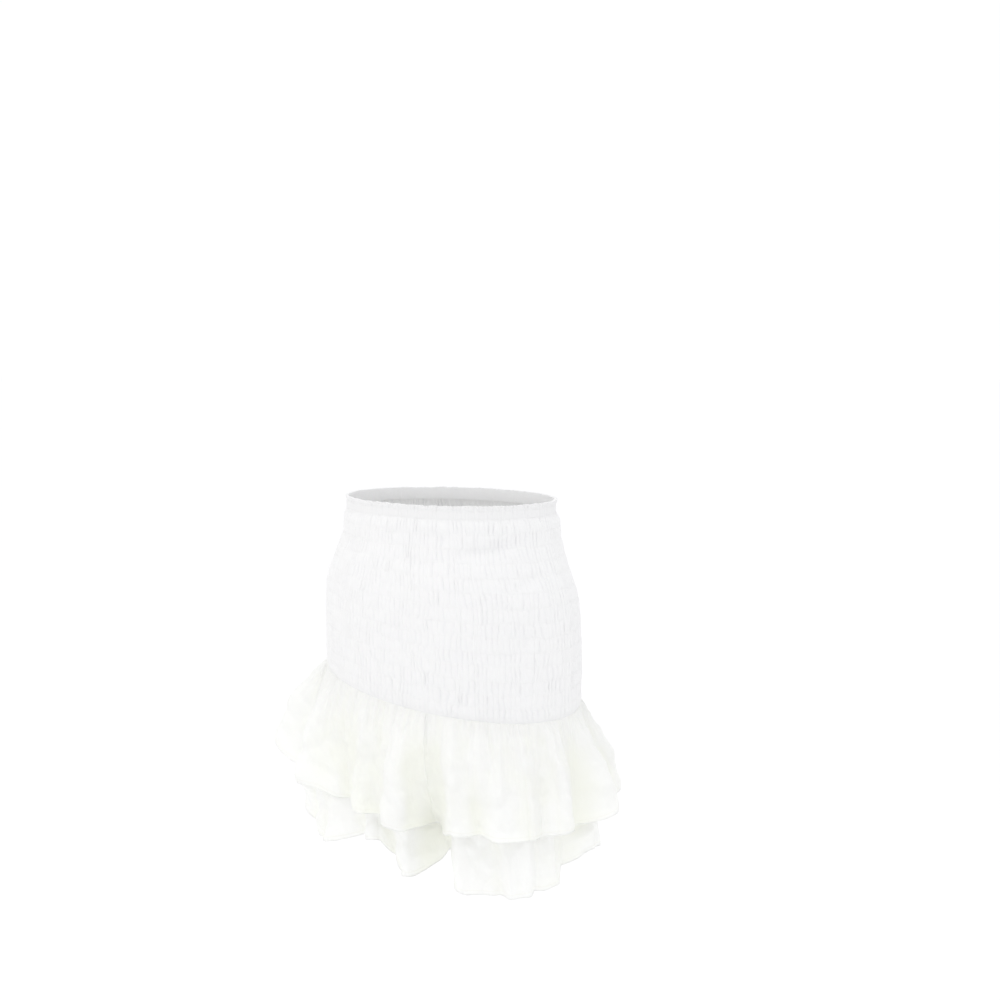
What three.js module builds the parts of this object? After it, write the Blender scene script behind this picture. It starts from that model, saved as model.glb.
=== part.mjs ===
// A high-waisted smocked mini skirt with a two-tier ruffle hem, open and hollow as it is worn.
// Millimetres, +Z up. The front faces -Y and the wearer's left side is +X.
// The origin is the centre of the waist opening, halfway up the elastic casing.
// A turn is an angle round the body in degrees: 0 at the front, 90 at the wearer's left, 180 at the back.
// A drop is a distance below the casing's top edge.

import * as THREE from "three";

// Driving dimensions
const SEAM_GAP = 0.3;
const CASING_HEIGHT = 14;
const CASING_WALL = 2.2;
const YOKE_WALL = 1.8;
const YOKE_BOTTOM_DROP = 209;
const SHIRRING_ROWS = 14;
const GATHERS_PER_PANEL = 48;
const RUFFLE_WALL = 1.2;
const UPPER_RUFFLE_LENGTH = 120;
const LOWER_RUFFLE_LENGTH = 182;
const SEAM_TILT = THREE.MathUtils.degToRad(5.8);
const HEM_TILT_KEPT = 0.6;

// How far the gathered cloth stands out from the plain wall: on a shirring row, and between two rows
// at the top of a gather and in the valley beside it.
const YOKE_RELIEF = { row: 0.9, crest: 2.4, valley: 0.1 };
const CASING_RELIEF = { row: 0.3, crest: 1.4, valley: 0.1 };
const HEADING_RELIEF = { crest: 1.1, valley: 0.1 };
const CASING_STITCH_SHARE = 0.32;
const CASING_PUFF_SHARE = 0.66;

// How the ruffles leave the seam: a power of 1 is a straight cone, and more bends them down at the hem.
const FLARE_POWER = 1.4;
const SEAM_GATHER_DEPTH = 2;
const SEAM_GATHER_PEAK = 0.14;
const SEAM_GATHER_END = 0.5;
const SEAM_GATHERS_PER_FOLD = 2;
const COLUMNS_PER_FOLD = 4;
const RUFFLE_SHARES = [0, 0.05, 0.14, 0.28, 0.48, 0.74, 1];

// Mesh steps of the plain inner faces, and of the sums that even them out
const INNER_COLUMNS = 22;
const INNER_ROWS = 7;
const LENGTH_STEPS = 720;
const FALL_STEPS = 16;
const NEAR_PLACE = 0.02;
const NEAR_SHARE = 0.01;

// The figure that the skirt fits: half width at the sides, and depth before and behind the axis.
const FIGURE = [
  { drop: 0, side: 127, front: 96, back: 98 },
  { drop: 14, side: 127, front: 96, back: 98 },
  { drop: 22, side: 130, front: 98, back: 102 },
  { drop: 42, side: 132, front: 99, back: 104 },
  { drop: 68, side: 142, front: 106, back: 107 },
  { drop: 95, side: 153, front: 110, back: 113 },
  { drop: 130, side: 157, front: 112, back: 118 },
  { drop: 170, side: 158, front: 112, back: 119 },
  { drop: 209, side: 158, front: 111, back: 118 },
];

// Fold lines of the ruffles, crests and valleys in turn, at the seam and at the lower hem.
// upper and lower are how far the hem of each tier stands out there, and lift is how far the
// lower hem is caught up.
const FRONT_FOLDS = [
  { seam: -90, hem: -90, upper: 14, lower: 3, lift: 0 },
  { seam: -82, hem: -82, upper: 40, lower: 20, lift: 0 },
  { seam: -74, hem: -73, upper: 22, lower: 6, lift: 0 },
  { seam: -63, hem: -64, upper: 66, lower: 28, lift: 6 },
  { seam: -50, hem: -46, upper: 24, lower: 10, lift: 4 },
  { seam: -37, hem: -31, upper: 46, lower: 26, lift: 0 },
  { seam: -22, hem: -13, upper: 8, lower: -10, lift: 20 },
  { seam: -7, hem: 2, upper: 38, lower: 18, lift: 34 },
  { seam: 0, hem: 8, upper: 28, lower: 8, lift: 18 },
  { seam: 9, hem: 15, upper: 40, lower: 26, lift: 9 },
  { seam: 22, hem: 25, upper: -14, lower: -30, lift: 8 },
  { seam: 34, hem: 37, upper: 44, lower: 32, lift: 0 },
  { seam: 47, hem: 50, upper: 42, lower: 27, lift: 0 },
  { seam: 61, hem: 62, upper: 38, lower: 28, lift: 0 },
  { seam: 68, hem: 68, upper: 20, lower: 11, lift: 0 },
  { seam: 78, hem: 77, upper: 38, lower: 24, lift: 4 },
  { seam: 90, hem: 88, upper: 14, lower: 1, lift: 14 },
];
const BACK_FOLDS = [
  { seam: 90, hem: 88, upper: 14, lower: 1, lift: 14 },
  { seam: 102, hem: 103, upper: 50, lower: 24, lift: 22 },
  { seam: 113, hem: 114, upper: 18, lower: 4, lift: 14 },
  { seam: 124, hem: 122, upper: 50, lower: 30, lift: 4 },
  { seam: 134, hem: 132, upper: 14, lower: 2, lift: 0 },
  { seam: 144, hem: 145, upper: 42, lower: 26, lift: 0 },
  { seam: 154, hem: 156, upper: 22, lower: 10, lift: 4 },
  { seam: 164, hem: 167, upper: 48, lower: 28, lift: 0 },
  { seam: 175, hem: 176, upper: 0, lower: -14, lift: 10 },
  { seam: 187, hem: 186, upper: 50, lower: 32, lift: 0 },
  { seam: 198, hem: 196, upper: 22, lower: 8, lift: 4 },
  { seam: 207, hem: 207, upper: 40, lower: 24, lift: 0 },
  { seam: 217, hem: 219, upper: 8, lower: -4, lift: 8 },
  { seam: 229, hem: 231, upper: 54, lower: 32, lift: 0 },
  { seam: 241, hem: 241, upper: 18, lower: 6, lift: 4 },
  { seam: 255, hem: 254, upper: 46, lower: 26, lift: 0 },
  { seam: 270, hem: 270, upper: 14, lower: 3, lift: 0 },
];

const TOP_Z = CASING_HEIGHT / 2;
const FRONT = { from: -90, to: 90, folds: FRONT_FOLDS };
const BACK = { from: 90, to: 270, folds: BACK_FOLDS };

function mix(a, b, t) {
  return a + (b - a) * t;
}

function ease(t) {
  return (1 - Math.cos(Math.PI * t)) / 2;
}

// A smooth curve through one column of the figure table.
function figureAt(column, drop) {
  const last = FIGURE.length - 1;
  const at = THREE.MathUtils.clamp(drop, FIGURE[0].drop, FIGURE[last].drop);
  let i = 0;
  while (i < last - 1 && FIGURE[i + 1].drop < at) i += 1;
  const slope = (k) => {
    const before = FIGURE[Math.max(k - 1, 0)];
    const after = FIGURE[Math.min(k + 1, last)];
    return (after[column] - before[column]) / (after.drop - before.drop);
  };
  const step = FIGURE[i + 1].drop - FIGURE[i].drop;
  const t = (at - FIGURE[i].drop) / step;
  const start = FIGURE[i][column];
  const end = FIGURE[i + 1][column];
  const leaving = slope(i) * step - (end - start);
  const arriving = end - start - slope(i + 1) * step;
  return mix(start, end, t) + t * (1 - t) * mix(leaving, arriving, t);
}

// The figure's outline at one drop: a point, and the level direction straight out of it.
function outline(turn, drop) {
  const angle = THREE.MathUtils.degToRad(turn);
  const side = figureAt("side", drop);
  const depth = figureAt(Math.cos(angle) >= 0 ? "front" : "back", drop);
  const point = new THREE.Vector3(side * Math.sin(angle), -depth * Math.cos(angle), 0);
  const out = new THREE.Vector3(Math.sin(angle) / side, -Math.cos(angle) / depth, 0).normalize();
  return { point, out };
}

// The wearer's right hip is the higher one, so level lines of the cloth tilt more the lower they lie.
function tiltedHeight(drop, x) {
  const share = THREE.MathUtils.smoothstep(drop, 0, YOKE_BOTTOM_DROP);
  return TOP_Z - drop - Math.tan(SEAM_TILT) * x * share;
}

// Front and back panels end half a seam gap short of each other at the sides.
function openSideSeam(panel, turn, point) {
  if (turn === panel.from || turn === panel.to) {
    point.y = panel === FRONT ? -SEAM_GAP / 2 : SEAM_GAP / 2;
  }
  return point;
}

// A point of the yoke or casing, moved out from the figure.
function clothPoint(panel, turn, drop, offset) {
  const { point, out } = outline(turn, drop);
  const z = tiltedHeight(drop, point.x);
  point.addScaledVector(out, offset);
  point.z = z;
  return openSideSeam(panel, turn, point);
}

// Turns that divide a panel into stretches of equal length along the hip line.
function evenTurns(panel, count) {
  const turnAt = (step) => mix(panel.from, panel.to, step / LENGTH_STEPS);
  const lengths = [0];
  for (let step = 1; step <= LENGTH_STEPS; step += 1) {
    const here = outline(turnAt(step), YOKE_BOTTOM_DROP).point;
    const before = outline(turnAt(step - 1), YOKE_BOTTOM_DROP).point;
    lengths.push(lengths[step - 1] + here.distanceTo(before));
  }
  const turns = [panel.from];
  let step = 0;
  for (let k = 1; k < count; k += 1) {
    const wanted = (lengths[LENGTH_STEPS] * k) / count;
    while (lengths[step + 1] < wanted) step += 1;
    turns.push(turnAt(step + (wanted - lengths[step]) / (lengths[step + 1] - lengths[step])));
  }
  turns.push(panel.to);
  return turns;
}

// Collects the points and triangles of one closed wall. Each point keeps where it lies in the cloth,
// across and down, so that chains with different numbers of points can be joined.
class Wall {
  constructor() {
    this.positions = [];
    this.across = [];
    this.down = [];
    this.triangles = [];
  }

  row(turns, drop, place) {
    return turns.map((turn) => {
      const point = place(turn, drop);
      this.positions.push(point.x, point.y, point.z);
      this.across.push(turn);
      this.down.push(drop);
      return this.across.length - 1;
    });
  }

  // Joins two chains by triangles that face outward, or inward when inside is true.
  zip(a, b, key, inside = false) {
    const face = (p, q, r) => this.triangles.push(p, inside ? r : q, inside ? q : r);
    let i = 0;
    let j = 0;
    while (i < a.length - 1 || j < b.length - 1) {
      const middleA = i < a.length - 1 ? key[a[i]] + key[a[i + 1]] : Infinity;
      const middleB = j < b.length - 1 ? key[b[j]] + key[b[j + 1]] : Infinity;
      if (middleA <= middleB) {
        face(a[i], b[j], a[i + 1]);
        i += 1;
      } else {
        face(a[i], b[j], b[j + 1]);
        j += 1;
      }
    }
  }

  // Closes an outer and an inner sheet, each a list of rows from top to bottom, into one wall.
  close(outer, inner) {
    for (let i = 1; i < outer.length; i += 1) this.zip(outer[i - 1], outer[i], this.across);
    for (let i = 1; i < inner.length; i += 1) this.zip(inner[i - 1], inner[i], this.across, true);
    this.zip(inner[0], outer[0], this.across);
    this.zip(outer[outer.length - 1], inner[inner.length - 1], this.across);
    const start = (sheet) => sheet.map((row) => row[0]);
    const end = (sheet) => sheet.map((row) => row[row.length - 1]);
    this.zip(start(outer), start(inner), this.down);
    this.zip(end(inner), end(outer), this.down);
    const geometry = new THREE.BufferGeometry();
    geometry.setAttribute("position", new THREE.Float32BufferAttribute(this.positions, 3));
    geometry.setIndex(this.triangles);
    geometry.computeVertexNormals();
    return geometry;
  }
}

// Rows of gathered cloth. Between shirring rows it stands out in puffs, one at every second turn, and
// on a row it is drawn flat, so only the gathers' tops and the side seams need a point there.
function gatheredRows(wall, panel, half, bands) {
  const turns = evenTurns(panel, 2 * GATHERS_PER_PANEL);
  const drawn = turns.filter((turn, i) => i % 2 === 1 || i === 0 || i === turns.length - 1);
  return bands.map(({ drop, relief, onRow }) => {
    if (onRow) return wall.row(drawn, drop, (turn) => clothPoint(panel, turn, drop, half + relief.row));
    const stands = (turn) => (turns.indexOf(turn) % 2 === 1 ? relief.crest : relief.valley);
    return wall.row(turns, drop, (turn) => clothPoint(panel, turn, drop, half + stands(turn)));
  });
}

// The plain inside of a yoke or casing panel, from its top drop to its bottom drop.
function plainRows(wall, panel, half, top, bottom, count) {
  const turns = evenTurns(panel, INNER_COLUMNS);
  const rows = [];
  for (let i = 0; i <= count; i += 1) {
    rows.push(wall.row(turns, mix(top, bottom, i / count), (turn, drop) => clothPoint(panel, turn, drop, -half)));
  }
  return rows;
}

function yokePanel(panel) {
  const wall = new Wall();
  const top = CASING_HEIGHT + SEAM_GAP;
  const steps = 2 * SHIRRING_ROWS;
  const bands = [];
  for (let i = 0; i <= steps; i += 1) {
    bands.push({ drop: mix(top, YOKE_BOTTOM_DROP, i / steps), relief: YOKE_RELIEF, onRow: i % 2 === 0 });
  }
  const outer = gatheredRows(wall, panel, YOKE_WALL / 2, bands);
  return wall.close(outer, plainRows(wall, panel, YOKE_WALL / 2, top, YOKE_BOTTOM_DROP, INNER_ROWS));
}

// The elastic casing: a frilled heading above a line of stitching, and one band of puffs under it.
function casingPanel(panel) {
  const wall = new Wall();
  const outer = gatheredRows(wall, panel, CASING_WALL / 2, [
    { drop: 0, relief: HEADING_RELIEF, onRow: false },
    { drop: CASING_HEIGHT * CASING_STITCH_SHARE, relief: CASING_RELIEF, onRow: true },
    { drop: CASING_HEIGHT * CASING_PUFF_SHARE, relief: CASING_RELIEF, onRow: false },
    { drop: CASING_HEIGHT, relief: CASING_RELIEF, onRow: true },
  ]);
  return wall.close(outer, plainRows(wall, panel, CASING_WALL / 2, 0, CASING_HEIGHT, 1));
}

// The share of its full reach that a ruffle has flared out, part of the way to its hem.
function flare(share) {
  return 1 - (1 - share) ** FLARE_POWER;
}

// How far a ruffle's cloth falls while it flares, so that its length down the cloth stays the same.
function fall(reach, length, share) {
  let sum = 0;
  for (let i = 0; i < FALL_STEPS; i += 1) {
    const at = (share * (i + 0.5)) / FALL_STEPS;
    const rate = reach * FLARE_POWER * (1 - at) ** (FLARE_POWER - 1);
    sum += Math.sqrt(length ** 2 - rate ** 2);
  }
  return (sum * share) / FALL_STEPS;
}

// Small gathers swell just under the seam and die out towards the hem.
function seamGather(place, share) {
  const swelling = share / SEAM_GATHER_PEAK;
  const dying = (SEAM_GATHER_END - share) / (SEAM_GATHER_END - SEAM_GATHER_PEAK);
  const size = SEAM_GATHER_DEPTH * Math.max(0, Math.min(swelling, dying));
  return (size * (1 - Math.cos(2 * Math.PI * SEAM_GATHERS_PER_FOLD * place))) / 2;
}

// The middle of a ruffle's cloth. A place counts fold lines from the panel's first side seam.
function ruffleMiddle(panel, tier, place, share) {
  const i = Math.min(Math.floor(place), panel.folds.length - 2);
  const t = place - i;
  const a = panel.folds[i];
  const b = panel.folds[i + 1];
  const reach = mix(a[tier.reach], b[tier.reach], ease(t));
  const lift = tier.lifted ? mix(a.lift, b.lift, ease(t)) : 0;
  const drift = (share * tier.length) / LOWER_RUFFLE_LENGTH;
  const turn = mix(mix(a.seam, b.seam, t), mix(a.hem, b.hem, t), drift);
  const { point, out } = outline(turn, YOKE_BOTTOM_DROP);
  const tilt = Math.tan(SEAM_TILT) * mix(1, HEM_TILT_KEPT, drift);
  const seamZ = TOP_Z - YOKE_BOTTOM_DROP - SEAM_GAP - tilt * point.x;
  point.addScaledVector(out, tier.offset + reach * flare(share) + seamGather(place, share));
  point.z = seamZ - fall(reach, tier.length - lift, share);
  return point;
}

// The direction square to a ruffle's cloth. At the seam it is level, so that the edge fits the yoke.
function ruffleNormal(panel, tier, place, share) {
  const last = panel.folds.length - 1;
  if (share === 0) {
    const i = Math.min(Math.floor(place), last - 1);
    return outline(mix(panel.folds[i].seam, panel.folds[i + 1].seam, place - i), YOKE_BOTTOM_DROP).out;
  }
  const along = ruffleMiddle(panel, tier, Math.min(place + NEAR_PLACE, last), share).sub(
    ruffleMiddle(panel, tier, Math.max(place - NEAR_PLACE, 0), share),
  );
  const down = ruffleMiddle(panel, tier, place, Math.min(share + NEAR_SHARE, 1)).sub(
    ruffleMiddle(panel, tier, place, share - NEAR_SHARE),
  );
  const normal = down.cross(along);
  if (place === 0 || place === last) normal.y = 0;
  return normal.normalize();
}

function rufflePanel(panel, tier) {
  const wall = new Wall();
  const last = panel.folds.length - 1;
  const places = Array.from({ length: last * COLUMNS_PER_FOLD + 1 }, (none, k) => k / COLUMNS_PER_FOLD);
  const sheet = (offset) =>
    RUFFLE_SHARES.map((share) =>
      wall.row(places, share, (place) => {
        const point = ruffleMiddle(panel, tier, place, share);
        point.addScaledVector(ruffleNormal(panel, tier, place, share), offset);
        const seam = place === 0 ? panel.from : place === last ? panel.to : null;
        return openSideSeam(panel, seam, point);
      }),
    );
  return wall.close(sheet(RUFFLE_WALL / 2), sheet(-RUFFLE_WALL / 2));
}

// Both tiers are gathered into the yoke's lower seam, the upper one outside the lower one.
const LAYER_OFFSET = (RUFFLE_WALL + SEAM_GAP) / 2;
const UPPER = { reach: "upper", length: UPPER_RUFFLE_LENGTH, offset: LAYER_OFFSET, lifted: false };
const LOWER = { reach: "lower", length: LOWER_RUFFLE_LENGTH, offset: -LAYER_OFFSET, lifted: true };

const smockedCotton = new THREE.MeshStandardMaterial({ color: 0xf3f3f1, roughness: 0.86, metalness: 0 });
const ivoryChiffon = new THREE.MeshStandardMaterial({ color: 0xf7f5ea, roughness: 0.78, metalness: 0 });

const skirt = new THREE.Group();

function add(name, geometry, material) {
  const mesh = new THREE.Mesh(geometry, material);
  mesh.name = name;
  skirt.add(mesh);
}

for (const [side, panel] of [["front", FRONT], ["back", BACK]]) {
  add(`waist_casing_${side}`, casingPanel(panel), smockedCotton);
  add(`smocked_yoke_${side}`, yokePanel(panel), smockedCotton);
  add(`upper_ruffle_${side}`, rufflePanel(panel, UPPER), ivoryChiffon);
  add(`lower_ruffle_${side}`, rufflePanel(panel, LOWER), ivoryChiffon);
}

export default skirt;
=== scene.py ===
import math

import bpy
import numpy as np
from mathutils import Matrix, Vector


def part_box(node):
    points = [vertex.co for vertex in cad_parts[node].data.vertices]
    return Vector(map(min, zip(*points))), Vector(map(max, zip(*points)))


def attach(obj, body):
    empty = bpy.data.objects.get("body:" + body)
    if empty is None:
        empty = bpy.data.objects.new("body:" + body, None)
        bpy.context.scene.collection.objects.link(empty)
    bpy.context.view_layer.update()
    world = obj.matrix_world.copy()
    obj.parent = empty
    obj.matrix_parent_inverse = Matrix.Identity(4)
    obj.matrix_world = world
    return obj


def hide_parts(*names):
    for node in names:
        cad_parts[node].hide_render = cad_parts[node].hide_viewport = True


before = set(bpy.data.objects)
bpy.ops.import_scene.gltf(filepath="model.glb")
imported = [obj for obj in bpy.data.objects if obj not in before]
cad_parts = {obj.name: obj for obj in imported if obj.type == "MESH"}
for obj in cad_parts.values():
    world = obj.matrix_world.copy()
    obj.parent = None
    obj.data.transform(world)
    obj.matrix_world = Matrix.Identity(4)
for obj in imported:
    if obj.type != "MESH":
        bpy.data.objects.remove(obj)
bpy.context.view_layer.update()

# A high-waisted smocked mini skirt with a two-tier ruffle hem, open and hollow as it is worn. Sizes are
# in millimetres until a mesh is made. The front faces -Y and the wearer's left side is +X. A turn is an
# angle round the waist in degrees, 0 at the front and 90 at the wearer's left. A drop is a distance
# below the top edge.
MM = 0.001
TOP_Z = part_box("waist_casing_front")[1][2] / MM

# Sizes of the solids that the cloth follows
CASING_HEIGHT = 14.0
CASING_WALL = 2.2
YOKE_WALL = 1.8
YOKE_BOTTOM_DROP = 209.0
SHIRRING_ROWS = 14
UPPER_RUFFLE_LENGTH = 120.0
LOWER_RUFFLE_LENGTH = 182.0
RUFFLE_WALL = 1.2
SEAM_GAP = 0.3
LAYER_OFFSET = (RUFFLE_WALL + SEAM_GAP) / 2
SEAM_TILT = math.radians(5.8)
HEM_TILT_KEPT = 0.6
FLARE_POWER = 1.4

# The figure that the skirt fits: half width at the sides, and depth before and behind the axis
FIGURE = [
    dict(drop=0, side=127, front=96, back=98),
    dict(drop=14, side=127, front=96, back=98),
    dict(drop=22, side=130, front=98, back=102),
    dict(drop=42, side=132, front=99, back=104),
    dict(drop=68, side=142, front=106, back=107),
    dict(drop=95, side=153, front=110, back=113),
    dict(drop=130, side=157, front=112, back=118),
    dict(drop=170, side=158, front=112, back=119),
    dict(drop=209, side=158, front=111, back=118),
]

# Fold lines of the ruffles: crests and valleys in turn, with how far each tier's hem stands out there
# and how far the lower hem is caught up.
FRONT_FOLDS = [
    dict(seam=-90, hem=-90, upper=14, lower=3, lift=0),
    dict(seam=-82, hem=-82, upper=40, lower=20, lift=0),
    dict(seam=-74, hem=-73, upper=22, lower=6, lift=0),
    dict(seam=-63, hem=-64, upper=66, lower=28, lift=6),
    dict(seam=-50, hem=-46, upper=24, lower=10, lift=4),
    dict(seam=-37, hem=-31, upper=46, lower=26, lift=0),
    dict(seam=-22, hem=-13, upper=8, lower=-10, lift=20),
    dict(seam=-7, hem=2, upper=38, lower=18, lift=34),
    dict(seam=0, hem=8, upper=28, lower=8, lift=18),
    dict(seam=9, hem=15, upper=40, lower=26, lift=9),
    dict(seam=22, hem=25, upper=-14, lower=-30, lift=8),
    dict(seam=34, hem=37, upper=44, lower=32, lift=0),
    dict(seam=47, hem=50, upper=42, lower=27, lift=0),
    dict(seam=61, hem=62, upper=38, lower=28, lift=0),
    dict(seam=68, hem=68, upper=20, lower=11, lift=0),
    dict(seam=78, hem=77, upper=38, lower=24, lift=4),
    dict(seam=90, hem=88, upper=14, lower=1, lift=14),
]
BACK_FOLDS = [
    dict(seam=90, hem=88, upper=14, lower=1, lift=14),
    dict(seam=102, hem=103, upper=50, lower=24, lift=22),
    dict(seam=113, hem=114, upper=18, lower=4, lift=14),
    dict(seam=124, hem=122, upper=50, lower=30, lift=4),
    dict(seam=134, hem=132, upper=14, lower=2, lift=0),
    dict(seam=144, hem=145, upper=42, lower=26, lift=0),
    dict(seam=154, hem=156, upper=22, lower=10, lift=4),
    dict(seam=164, hem=167, upper=48, lower=28, lift=0),
    dict(seam=175, hem=176, upper=0, lower=-14, lift=10),
    dict(seam=187, hem=186, upper=50, lower=32, lift=0),
    dict(seam=198, hem=196, upper=22, lower=8, lift=4),
    dict(seam=207, hem=207, upper=40, lower=24, lift=0),
    dict(seam=217, hem=219, upper=8, lower=-4, lift=8),
    dict(seam=229, hem=231, upper=54, lower=32, lift=0),
    dict(seam=241, hem=241, upper=18, lower=6, lift=4),
    dict(seam=255, hem=254, upper=46, lower=26, lift=0),
    dict(seam=270, hem=270, upper=14, lower=3, lift=0),
]

# Soft creases of the worn yoke: where, how long and wide, how deep, and how far one end drops
CREASES = [
    dict(turn=53, drop=44, length=80, width=10, depth=4.0, lean=-14),
    dict(turn=24, drop=30, length=40, width=9, depth=1.6, lean=10),
    dict(turn=16, drop=58, length=60, width=13, depth=1.6, lean=8),
    dict(turn=70, drop=76, length=50, width=10, depth=2.2, lean=-14),
    dict(turn=-30, drop=50, length=60, width=14, depth=1.8, lean=12),
    dict(turn=62, drop=135, length=46, width=12, depth=1.6, lean=-18),
    dict(turn=58, drop=176, length=44, width=9, depth=1.3, lean=6),
    dict(turn=140, drop=48, length=66, width=12, depth=1.6, lean=10),
    dict(turn=200, drop=56, length=70, width=13, depth=1.5, lean=-9),
    dict(turn=245, drop=80, length=52, width=12, depth=1.2, lean=12),
]

# Small folds of the ruffles placed one by one: where along the seam, from and to which distance below
# it, how wide, how high (a trough is below zero), and how far it leans towards the wearer's left
HAND_FOLDS = [
    dict(side="front", tier="upper", turn=61.2, start=50, end=140, width=3.0, height=-5.0, lean=0.0),
    dict(side="front", tier="upper", turn=74.4, start=44, end=140, width=3.0, height=-5.0, lean=0.0),
    dict(side="front", tier="upper", turn=75.0, start=4, end=92, width=4.0, height=3.0, lean=0.09),
    dict(side="front", tier="upper", turn=68.0, start=6, end=60, width=4.0, height=2.6, lean=-0.05),
    dict(side="front", tier="upper", turn=55.0, start=18, end=62, width=4.5, height=-3.0, lean=0.06),
    dict(side="front", tier="upper", turn=46.8, start=3, end=36, width=2.8, height=-3.6, lean=0.04),
    dict(side="front", tier="upper", turn=42.5, start=2, end=70, width=5.0, height=2.8, lean=0.05),
    dict(side="front", tier="upper", turn=39.7, start=2, end=34, width=2.6, height=-3.8, lean=0.0),
    dict(side="front", tier="upper", turn=35.9, start=2, end=40, width=2.8, height=-4.0, lean=0.05),
    dict(side="front", tier="upper", turn=31.5, start=4, end=90, width=5.5, height=3.2, lean=0.03),
    dict(side="front", tier="upper", turn=26.7, start=3, end=52, width=4.0, height=-4.2, lean=-0.04),
    dict(side="front", tier="upper", turn=17.5, start=5, end=66, width=4.5, height=-3.0, lean=-0.05),
    dict(side="front", tier="upper", turn=10.0, start=16, end=90, width=8.0, height=3.0, lean=0.08),
    dict(side="front", tier="upper", turn=3.0, start=4, end=48, width=3.6, height=-3.2, lean=-0.06),
    dict(side="front", tier="upper", turn=-5.8, start=3, end=34, width=3.0, height=-4.0, lean=0.0),
    dict(side="front", tier="upper", turn=-10.0, start=34, end=104, width=6.0, height=-3.4, lean=-0.1),
    dict(side="front", tier="upper", turn=-28.0, start=10, end=70, width=5.0, height=-3.0, lean=-0.12),
    dict(side="front", tier="upper", turn=-44.0, start=5, end=60, width=5.0, height=2.8, lean=-0.08),
    dict(side="front", tier="lower", turn=-6.0, start=120, end=190, width=4.0, height=-3.0, lean=0.0),
    dict(side="front", tier="lower", turn=46.0, start=118, end=176, width=6.0, height=-3.4, lean=0.1),
    dict(side="front", tier="lower", turn=54.0, start=130, end=190, width=5.0, height=3.0, lean=-0.06),
    dict(side="back", tier="upper", turn=118.0, start=30, end=140, width=6.0, height=-2.4, lean=0.05),
    dict(side="back", tier="upper", turn=148.0, start=5, end=80, width=6.0, height=2.2, lean=-0.06),
    dict(side="back", tier="upper", turn=159.0, start=3, end=44, width=3.0, height=-4.0, lean=0.04),
    dict(side="back", tier="upper", turn=191.0, start=40, end=140, width=4.4, height=-3.4, lean=-0.04),
    dict(side="back", tier="upper", turn=203.0, start=3, end=52, width=3.4, height=-3.6, lean=0.05),
    dict(side="back", tier="upper", turn=236.0, start=8, end=84, width=5.0, height=3.0, lean=0.08),
    dict(side="back", tier="upper", turn=248.0, start=4, end=46, width=3.0, height=-3.8, lean=-0.05),
    dict(side="back", tier="lower", turn=96.0, start=112, end=150, width=12.0, height=-9.0, lean=0.0),
    dict(side="back", tier="lower", turn=138.0, start=122, end=190, width=4.5, height=-3.2, lean=0.06),
    dict(side="back", tier="lower", turn=183.0, start=120, end=180, width=5.5, height=3.0, lean=-0.08),
]

# Places where the lower hem is caught up a little more
HEM_LIFTS = [
    dict(side="front", turn=29.5, width=4.5, lift=11),
    dict(side="front", turn=23.0, width=2.5, lift=12),
    dict(side="back", turn=128.0, width=6.0, lift=6),
    dict(side="back", turn=212.0, width=6.0, lift=7),
]

# Places where a tier stands out further, half way between its seam and its hem and at the hem
BELLIES = [
    dict(side="front", tier="lower", turn=-53.0, width=9.0, half_way=0, at_hem=11),
    dict(side="front", tier="upper", turn=21.5, width=9.0, half_way=20, at_hem=6),
    dict(side="front", tier="upper", turn=16.0, width=5.0, half_way=7, at_hem=10),
    dict(side="front", tier="upper", turn=-20.0, width=7.0, half_way=6, at_hem=2),
    dict(side="back", tier="upper", turn=175.0, width=8.0, half_way=12, at_hem=4),
    dict(side="back", tier="upper", turn=217.0, width=7.0, half_way=6, at_hem=2),
]

# How finely the cloth is drawn
YOKE_COLUMNS = 560
YOKE_ROWS_PER_BAND = 10
CASING_OUTER_ROWS = 29
CASING_RIM_ROWS = 6
CASING_INNER_ROWS = 11
RUFFLE_COLUMNS = 400
UPPER_ROWS = 90
LOWER_ROWS = 120
HIP_STEPS = 1441
SEAM_STEPS = 721
LATTICE = 64
NOISE_LINE = 0.5

# Gathers of the casing and the yoke. A band is the cloth between two shirring rows, and the gathers
# shift within the last share of a band before a row and the first share after it.
GATHER_PITCH = 5.6
GATHER_PITCH_SPREAD = 1.0
GATHER_PITCH_LIMITS = (3.4, 8.5)
GATHERS_DRAWN = 200
GATHER_ROUNDNESS = 0.8
GATHER_SIZE = 0.84
GATHER_SIDE_CALM = 10
VALLEY_DEPTH = 0.68
VALLEY_DEPTH_LIMITS = (0.34, 1)
BAND_STEP = 0.9
BAND_SHIFT_SHARE = 0.6

# Chance in the cloth: how wide a lump is along it, how many lumps there are to a row, and their size
WANDER = dict(width=12, per_row=1.0, size=0.5)
SLOW_WANDER = dict(width=13, per_row=1.3, size=0.2)
SHALLOWS = dict(width=5, per_row=1.9, size=0.5)
UNEVEN_SIZE = dict(width=7, per_row=1.3, size=0.2)
ROW_WAVE = dict(width=22, per_row=0.9, size=0.16)
DRAPE = dict(width=42, per_row=1 / 2.2, size=0.9)
FRILL_WAVE = dict(width=9, per_row=1.0, size=0.7)
HEM_UNEVEN = dict(width=13, per_row=1.0, size=2.6)

# Relief of the yoke over its solid: on a shirring row, on the gathers between two rows, near the
# lower end and at the side seams
YOKE_ROW_LEVEL = 0.9
YOKE_CREST = 2.1
PINCH_DEPTH = 0.4
ROW_SHARPNESS = 0.6
END_RELIEF = 0.2
END_SHARE = 0.45
YOKE_SIDE_RELIEF = 0.25
YOKE_SIDE_CALM = 6
CREASE_SHARPNESS = 1.6
CREASE_FADE_ROWS = 1.5

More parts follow.
